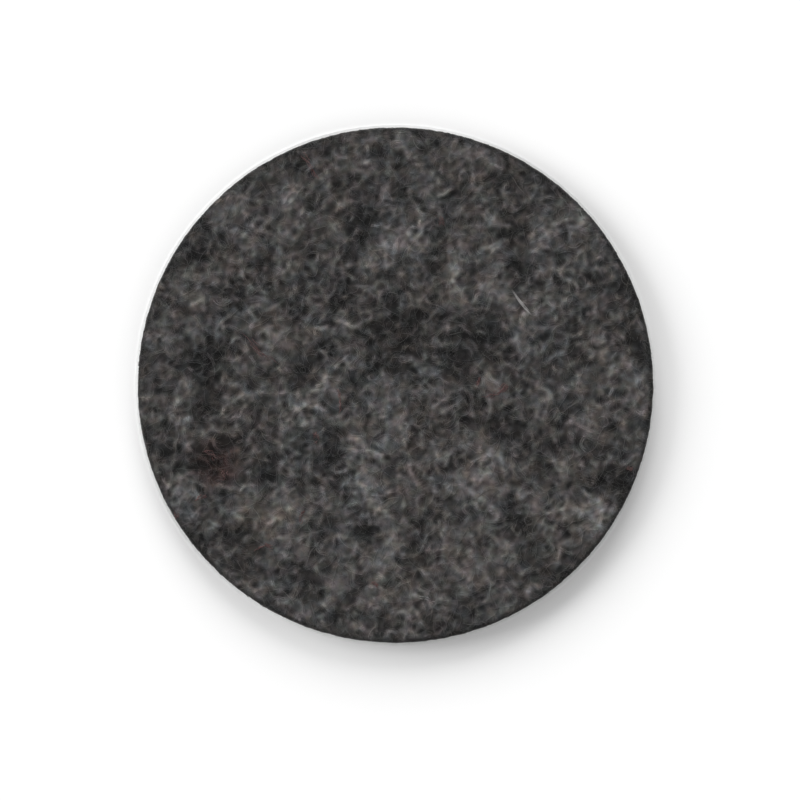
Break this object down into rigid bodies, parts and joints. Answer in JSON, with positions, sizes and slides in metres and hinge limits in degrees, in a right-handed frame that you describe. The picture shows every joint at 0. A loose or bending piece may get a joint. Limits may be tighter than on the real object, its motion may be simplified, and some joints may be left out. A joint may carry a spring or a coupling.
{
  "type": "felt polishing wheel",
  "caption": "Round self-adhesive felt polishing disc with no bore: pressed felt face, double-coated tape and a split peel-off paper liner.",
  "frame": {"origin": "centre of the release liner's outer face, on which the wheel lies, on the wheel's axis", "axes": "+Z along the wheel's axis, out of the polishing face; the liner's slit runs along Y"},
  "size_m": [0.155, 0.155, 0.0067],
  "materials": {
    "wool_felt": "matte",
    "acrylic_adhesive": "satin",
    "polyester_film": "gloss",
    "release_paper": "satin"
  },
  "bodies": {
    "wheel": {"felt_disc": "wool_felt", "felt_side_adhesive": "acrylic_adhesive", "carrier_film": "polyester_film", "plate_side_adhesive": "acrylic_adhesive"},
    "liner_left": {"liner_left_half": "release_paper"},
    "liner_right": {"liner_right_half": "release_paper"}
  },
  "joints": [
    {"name": "liner_left_peel", "type": "slide", "parent": "wheel", "child": "liner_left", "axis": [-1, 0, 0], "range_m": [0, 0.08]},
    {"name": "liner_right_peel", "type": "slide", "parent": "wheel", "child": "liner_right", "axis": [1, 0, 0], "range_m": [0, 0.08]}
  ]
}
